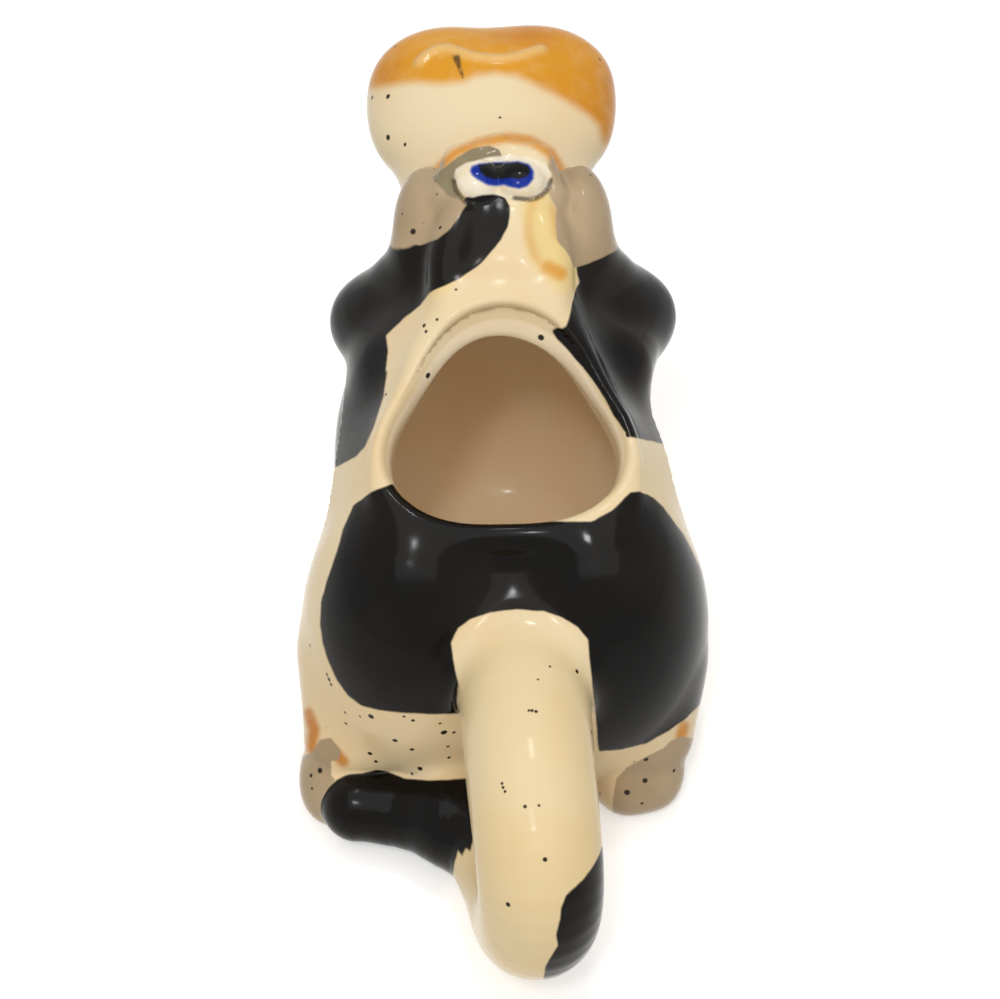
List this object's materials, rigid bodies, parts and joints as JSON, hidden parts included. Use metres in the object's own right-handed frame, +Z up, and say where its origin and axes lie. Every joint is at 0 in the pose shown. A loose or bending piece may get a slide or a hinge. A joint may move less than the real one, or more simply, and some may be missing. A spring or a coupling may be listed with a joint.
{
  "type": "cow creamer",
  "caption": "Hollow glazed-ceramic milk jug shaped as a squatting, calling cow: filled through the back, poured from the mouth, held by the looped tail.",
  "frame": {"origin": "middle of the unglazed pad's underside, on the table", "axes": "+Z up; +Y the way the cow faces, towards the pouring mouth; +X the cow's right side; -Y towards the tail handle"},
  "size_m": [0.0829, 0.184, 0.1054],
  "materials": {
    "cream_glaze": "gloss",
    "body_glaze": "gloss",
    "muzzle_glaze": "gloss",
    "black_glaze": "gloss",
    "hoof_glaze": "gloss",
    "eye_glaze": "gloss",
    "olive_glaze": "gloss",
    "yellow_glaze": "gloss",
    "bisque": "matte"
  },
  "bodies": {
    "root": {"body_shell": "body_glaze", "base_pad": "bisque", "head": "cream_glaze", "muzzle": "muzzle_glaze", "left_eyeball": "eye_glaze", "right_eyeball": "eye_glaze", "left_eyelid": "olive_glaze", "right_eyelid": "yellow_glaze", "left_ear": "black_glaze", "right_ear": "yellow_glaze", "left_foreleg": "black_glaze", "right_foreleg": "black_glaze", "left_fore_hoof": "hoof_glaze", "right_fore_hoof": "hoof_glaze", "left_hind_leg": "cream_glaze", "right_hind_leg": "cream_glaze", "left_hind_hoof": "hoof_glaze", "right_hind_hoof": "hoof_glaze", "tail_handle": "cream_glaze", "tail_tuft": "black_glaze"}
  },
  "joints": []
}
